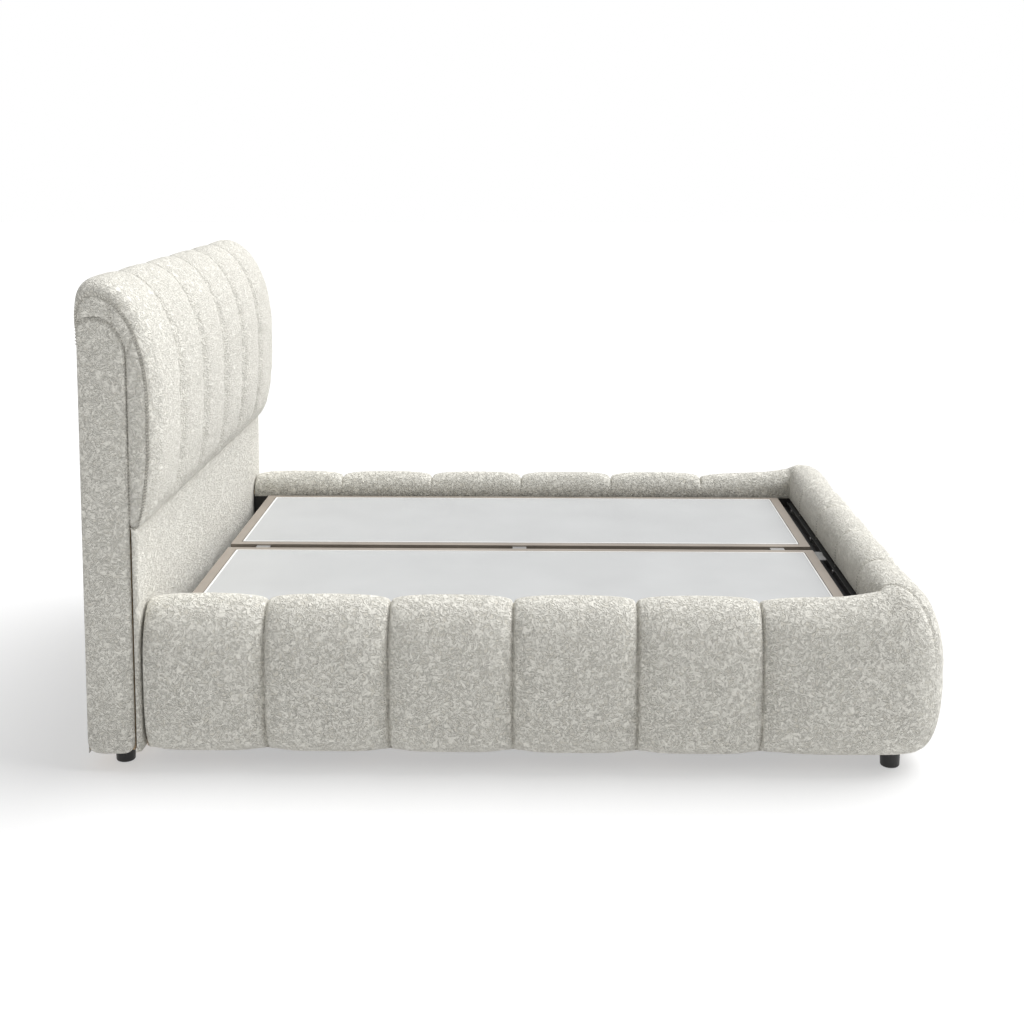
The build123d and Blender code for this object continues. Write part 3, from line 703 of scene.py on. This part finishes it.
def stitches(name, lines):
    """Short threads across a seam: lines are (places, directions, outward normals)."""
    vertices, faces = [], []
    for places, across, outward in lines:
        for number, (place, way, out) in enumerate(zip(places, across, outward)):
            way = way + np.cross(way, out) * 0.35 * math.sin(number * 12.9898)
            third = np.cross(way, out)
            base = len(vertices)
            for share, radius, rise in ((-1, 0.5, -0.6), (-0.5, 1, 0), (0.5, 1, 0), (1, 0.5, -0.6)):
                for step in range(6):
                    angle = math.pi / 3 * step
                    spot = (place + way * STITCH_HALF * share + out * STITCH_RADIUS * rise
                            + (out * math.cos(angle) + third * math.sin(angle)) * STITCH_RADIUS * radius)
                    vertices.append(spot)
            faces += [tuple(base + corner for corner in face) for face in tube_faces(4, 6)]
    return make_object(name, vertices, faces, MATERIALS["thread"])


COVERS = (
    ("side_rail_right", side_rings, side_seams, SHOWN, "rail", 0.003),
    ("side_rail_left", mirrored_rings, side_seams, SHOWN, "rail", 0.003),
    ("foot_rail", foot_rings, foot_seams, SHOWN, "rail", 0.003),
    ("headboard", head_rings, head_seams, PAD_SHOWN, "head", 0.001),
)
soft = []
for stem, rings, seams, shown, finish, lift in COVERS:
    cover = swept_cover(f"{stem}_cover", rings, MATERIALS[finish])
    soft.append((cover, held_points(rings, seams, shown)))
    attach(cover, "bed_frame")
    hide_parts(f"{stem}_pad")
    inner = [index for index, sewn in enumerate(seams) if sewn and 0 < index < len(rings) - 1]
    lines = [sewn_line(rings, index, shown, lift) for index in inner]
    threads = stitches(f"{stem}_stitches", lines)
    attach(threads, "bed_frame")
inflate(soft)
for cover, _ in soft:
    subdivide(cover)


# ---------------------------------------------------------------- headboard panels
def edge_gap(points, seams):
    """Distance of each point from the nearest seam point."""
    gaps = points[:, None, :] - seams[None, :, :]
    return np.sqrt((gaps ** 2).sum(axis=2)).min(axis=1)


def side_panel(name, low, high, side, bulge, extra=()):
    """Closed padded panel facing sideways, between two edge lines in (x, z)."""
    low, high = resample(low, PANEL_ROWS), resample(high, PANEL_ROWS)
    shares = 0.5 - 0.5 * np.cos(np.pi * np.linspace(0, 1, 17))
    grid = low[:, None, :] + (high - low)[:, None, :] * shares[None, :, None]
    seams = np.concatenate([resample(low, 500), resample(high, 500), *extra])
    gap = edge_gap(grid.reshape(-1, 2), seams).reshape(grid.shape[:2])
    edge = 1 - np.clip(gap / PANEL_ROUNDING, 0, 1)
    rise = bulge * (0.75 * np.sqrt(1 - edge ** 2) + 0.25 * np.clip(gap / 0.06, 0, 1))
    rings = np.empty((PANEL_ROWS, len(shares) + 2, 3))
    rings[:, :-2, 0], rings[:, :-2, 2] = grid[:, :, 0], grid[:, :, 1]
    rings[:, :-2, 1] = side * (PANEL_BASE + rise)
    for column, line in ((-2, high), (-1, low)):
        rings[:, column, 0], rings[:, column, 2] = line[:, 0], line[:, 1]
        rings[:, column, 1] = side * (PANEL_BASE - 0.010)
    return swept_cover(name, rings, MATERIALS["head"])


def arc(centre, across, up, start, end, count=14):
    """Points of an ellipse between two angles in degrees."""
    return quarter(centre, across, up, 2.0, start, end, count)


PANEL_ROWS = 90
PANEL_ROUNDING = 0.016
PANEL_BASE = HEAD_HALF - 0.011       # how far out the panels' seams lie
PANEL_FRONT = SLAB_FRONT + 0.002
ARC_FOOT = SLAB_TOP - 0.112          # where the slab's front edge starts to curve back
ARC_TOP = SLAB_BACK + 0.046
GUSSET_FOOT = PAD_BOTTOM + 0.012
RADIAL_ROWS = (61, 74)               # rows of the gusset where a seam crosses it


def slab_lines():
    """Back and front edges of the slab's end panel, from the middle of its underside up."""
    middle = (SLAB_BACK + SLAB_FRONT) / 2
    bottom = RAIL_BOTTOM + 0.001
    corner = 0.030
    back = SLAB_BACK + 0.002
    low = [(middle - 0.001, bottom), (back + corner, bottom)]
    low += arc((back + corner, bottom + corner), corner, corner, 270, 180)
    low += [(back, SLAB_TOP - 0.030)]
    low += arc((back + 0.022, SLAB_TOP - 0.026), 0.022, 0.022, 180, 90, 6)
    low += [(ARC_TOP - 0.001, SLAB_TOP)]
    high = [(middle + 0.001, bottom), (PANEL_FRONT - corner, bottom)]
    high += arc((PANEL_FRONT - corner, bottom + corner), corner, corner, -90, 0)
    high += arc((ARC_TOP, ARC_FOOT), PANEL_FRONT - ARC_TOP, SLAB_TOP - ARC_FOOT, 0, 89)
    return low, high


def gusset_lines():
    """Inner and outer seams of the band that closes the end of the channelled pad."""
    gap = 0.0015
    inner = [(PANEL_FRONT + gap, GUSSET_FOOT)]
    inner += arc((ARC_TOP, ARC_FOOT), PANEL_FRONT - ARC_TOP + gap, SLAB_TOP - ARC_FOOT + gap, 0, 90)
    inner += [(SLAB_BACK + 0.012, SLAB_TOP - 0.004), (SLAB_BACK + 0.002, SLAB_TOP - 0.016)]
    end = pad_line(END_TURN[0] + 0.0005, END_TURN[1] + 0.0005)
    outer = [(x, z) for x, z in end if z > GUSSET_FOOT and (x > SLAB_FRONT or z > SLAB_TOP)]
    return inner, outer


def headboard_ends():
    """End panels and pad gussets of the headboard, with the stitches along their seams."""
    low, high = slab_lines()
    inner, outer = gusset_lines()
    inner_even, outer_even = resample(inner, PANEL_ROWS), resample(outer, PANEL_ROWS)
    radial = [np.linspace(inner_even[row], outer_even[row], 40) for row in RADIAL_ROWS]
    for name, side in (("right", -1), ("left", 1)):
        panel = side_panel(f"headboard_end_panel_{name}", low, high, side, 0.015)
        gusset = side_panel(f"headboard_gusset_{name}", inner, outer, side, 0.014, radial)
        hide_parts(f"headboard_side_{name}")
        lines = []
        for line, level in ((inner, HEAD_HALF - 0.007), (outer, HEAD_HALF - 0.006),
                            (radial[0], HEAD_HALF - 0.007), (radial[1], HEAD_HALF - 0.007)):
            length = np.linalg.norm(np.diff(np.array(line), axis=0), axis=1).sum()
            flat = resample(line, max(3, int(length / STITCH_PITCH)))
            places = np.stack([flat[:, 0], np.full(len(flat), side * level), flat[:, 1]], axis=1)
            along = np.gradient(places, axis=0)
            along /= np.linalg.norm(along, axis=1, keepdims=True)
            outward = np.tile([0.0, side, 0.0], (len(flat), 1))
            lines.append((places, np.cross(along, outward), outward))
        threads = stitches(f"headboard_end_stitches_{name}", lines)
        for piece in (panel, gusset, threads):
            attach(piece, "bed_frame")
        for piece in (panel, gusset):
            subdivide(piece)


def lower_panel():
    """Flat padded panel under the channelled pad, with rounded edges."""
    back, half, radius = SLAB_FRONT + 0.0005, HEAD_HALF - 0.001, 0.013
    rings = []
    bow = 0.003                      # how far the face falls back towards its ends
    top, bottom = PAD_BOTTOM + 0.004, RAIL_BOTTOM + 0.001
    for height in spread(bottom, top, 34):
        near = min(height - bottom, top - height)
        tuck = radius * (1 - math.sqrt(1 - (1 - min(1.0, near / radius)) ** 2))
        front = LOWER_FRONT - 0.001 - tuck
        edge = half - tuck
        corner = [(front - radius + across - bow, edge - radius + up) for across, up in
                  arc((0, 0), radius, radius, 90, 0, 8)]
        middle = [(front - bow * abs(2 * share - 1) ** 4,
                   edge - radius - 2 * (edge - radius) * share)
                  for share in np.linspace(0, 1, 60)[1:-1]]
        far_corner = [(x, -y) for x, y in reversed(corner)]
        plan = [(back, edge)] + corner + middle + far_corner + [(back, -edge)]
        rings.append([(x, y, height) for x, y in plan])
    panel = swept_cover("headboard_lower_cover", np.array(rings), MATERIALS["head"])
    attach(panel, "bed_frame")
    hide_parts("headboard_lower_pad")
    subdivide(panel)


def back_lining():
    """Woven lining stretched over the back, rippled a little and turned in at its edges."""
    low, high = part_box("headboard_back_cover")
    width, height = high.y - low.y, high.z - low.z
    rings = []
    for across in np.linspace(0, 1, 90):
        front, rear = [], []
        for up in np.linspace(0, 1, 60):
            hem = min(across * width, (1 - across) * width, up * height, (1 - up) * height)
            turned = math.exp(-hem / 0.006)
            ripple = math.sin(across * 31 + 2.2 * math.sin(up * 5))
            ripple *= math.sin(up * 17 + 1.5 * math.sin(across * 9))
            x = low.x + 0.0012 + 0.0006 * ripple + 0.0012 * turned
            spot = (low.y + across * width, low.z + up * height)
            rear.append((x, *spot))
            front.append((high.x - 0.0005, *spot))
        rings.append(rear + front[::-1])
    lining = swept_cover("headboard_back_lining", np.array(rings), MATERIALS["lining"])
    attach(lining, "bed_frame")
    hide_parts("headboard_back_cover")


headboard_ends()
lower_panel()
back_lining()


# ---------------------------------------------------------------- platform details
def board_edging(name):
    """White edging strip, rounded over, around a platform board: the rounded strip is real shape, and
    its white, far paler than the board, is a painted highlight along the rim.
    """
    low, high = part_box(f"platform_board_{name}")
    width, rise, radius = 0.0065, 0.0018, 0.006
    path = []
    for corner_x, corner_y, start in ((high.x, high.y, 0), (low.x, high.y, 90),
                                      (low.x, low.y, 180), (high.x, low.y, 270)):
        centre = (corner_x - math.copysign(radius, corner_x - (low.x + high.x) / 2),
                  corner_y - math.copysign(radius, corner_y - (low.y + high.y) / 2))
        for step in range(7):
            angle = math.radians(start + 15 * step)
            path.append((centre, (math.cos(angle), math.sin(angle))))
    profile = [(0, -0.004), (0, 0.0003), (0.12, 0.0012), (0.35, rise), (0.65, rise), (0.9, 0.0009),
               (1, -0.0006)]
    vertices = []
    for centre, out in path:
        for share, level in profile:
            reach = radius + 0.0004 - width * share
            x, y = (middle + way * reach for middle, way in zip(centre, out))
            vertices.append((x, y, high.z + level))
    around, rows = len(profile), len(path)
    faces = []
    for row in range(rows):
        for step in range(around):
            a, b = row * around + step, row * around + (step + 1) % around
            c, d = (row + 1) % rows * around + (step + 1) % around, (row + 1) % rows * around + step
            faces.append((a, b, c, d))
    edging = make_object(f"board_edging_{name}", vertices, faces, MATERIALS["edging"])
    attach(edging, "platform")


def strap_webbing():
    """Ribbed webbing folded over the end of the platform."""
    low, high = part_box("pull_strap")
    thick = 0.0026
    fold = 0.006
    line = [(low.x + thick, low.z), (low.x + thick, high.z - thick - fold)]
    line += [(low.x + thick + fold + x, high.z - thick - fold + z)
             for x, z in arc((0, 0), fold, fold, 180, 90, 6)[1:]]
    line += [(high.x, high.z - thick)]
    inner = resample(line, 60)
    along = np.gradient(inner, axis=0)
    along /= np.linalg.norm(along, axis=1, keepdims=True)
    outward = np.stack([-along[:, 1], along[:, 0]], axis=1)
    ribs = 0.0004 * np.cos(np.linspace(0, 2 * math.pi * 11, 60))
    outer = inner + outward * (thick - 0.0005 + ribs)[:, None]
    loop = np.concatenate([inner, outer[::-1]])
    rings = []
    for y in np.linspace(low.y, high.y, 24):
        sag = 0.0006 * math.sin((y - low.y) * 90)
        rings.append([(x, y, z + sag) for x, z in loop])
    webbing = swept_cover("pull_strap_webbing", np.array(rings), MATERIALS["strap"])
    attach(webbing, "platform")
    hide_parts("pull_strap")


for side_name in ("right", "left"):
    board_edging(side_name)
strap_webbing()


# ---------------------------------------------------------------- stage and light
def stage():
    """Wide pale floor, which glows a little so that it stays white beside the bed."""
    bpy.ops.mesh.primitive_plane_add(size=60, location=(0, 0, 0))
    floor = bpy.context.object
    floor.name = "studio_floor"
    made, _, shader = material("studio_floor")
    shader.inputs["Base Color"].default_value = (0.45, 0.45, 0.45, 1)
    shader.inputs["Roughness"].default_value = 0.9
    shader.inputs["Emission Color"].default_value = (1, 1, 1, 1)
    shader.inputs["Emission Strength"].default_value = 0.47
    floor.data.materials.append(made)


def world_light(seen, given):
    """White backdrop: seen is its brightness to the camera, given what it lights the bed with."""
    world = bpy.data.worlds.new("studio")
    bpy.context.scene.world = world
    world.use_nodes = True
    tree = world.node_tree
    background = tree.nodes["Background"]
    background.inputs["Color"].default_value = (1.0, 1.0, 1.0, 1)
    rays = tree.nodes.new("ShaderNodeLightPath")
    strength = tree.nodes.new("ShaderNodeMapRange")
    strength.inputs["To Min"].default_value = given
    strength.inputs["To Max"].default_value = seen
    tree.links.new(rays.outputs["Is Camera Ray"], strength.inputs["Value"])
    tree.links.new(strength.outputs["Result"], background.inputs["Strength"])


def soft_sun(name, direction, power, angle):
    """White sun from a direction, as wide as angle degrees."""
    data = bpy.data.lights.new(name, "SUN")
    data.energy = power
    data.angle = math.radians(angle)
    light = bpy.data.objects.new(name, data)
    bpy.context.scene.collection.objects.link(light)
    light.rotation_mode = "QUATERNION"
    light.rotation_quaternion = (-Vector(direction)).to_track_quat("-Z", "Y")


stage()
world_light(1.0, 0.39)
soft_sun("key", (0.58, 0.32, 0.85), 4.1, 60)
bpy.context.scene.view_settings.view_transform = "Standard"
